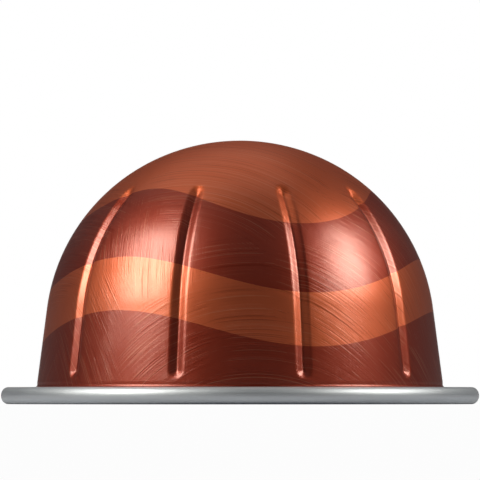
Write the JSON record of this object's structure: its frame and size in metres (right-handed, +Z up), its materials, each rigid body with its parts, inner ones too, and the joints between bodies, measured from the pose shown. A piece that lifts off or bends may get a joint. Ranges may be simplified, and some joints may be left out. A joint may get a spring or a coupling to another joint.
{
  "type": "coffee pod",
  "caption": "Domed single-serve coffee pod: a copper-printed drawn aluminium cup with pressed grooves and a curled rim, closed by a sealed foil lid.",
  "frame": {"origin": "middle of the circle that the curled rim stands on, at the bottom of the pod", "axes": "+Z up along the pod's axis towards the top of the dome, +X to the right and -Y to the front of the picture's view"},
  "size_m": [0.062, 0.062, 0.0342],
  "materials": {
    "printed_aluminium": "brushed aluminium under a glossy copper-brown lacquer in two tones, bare satin aluminium at the rim",
    "lid_foil": "bare satin aluminium foil"
  },
  "bodies": {
    "root": {"aluminium_cup": "printed_aluminium", "foil_lid": "lid_foil"}
  },
  "joints": []
}
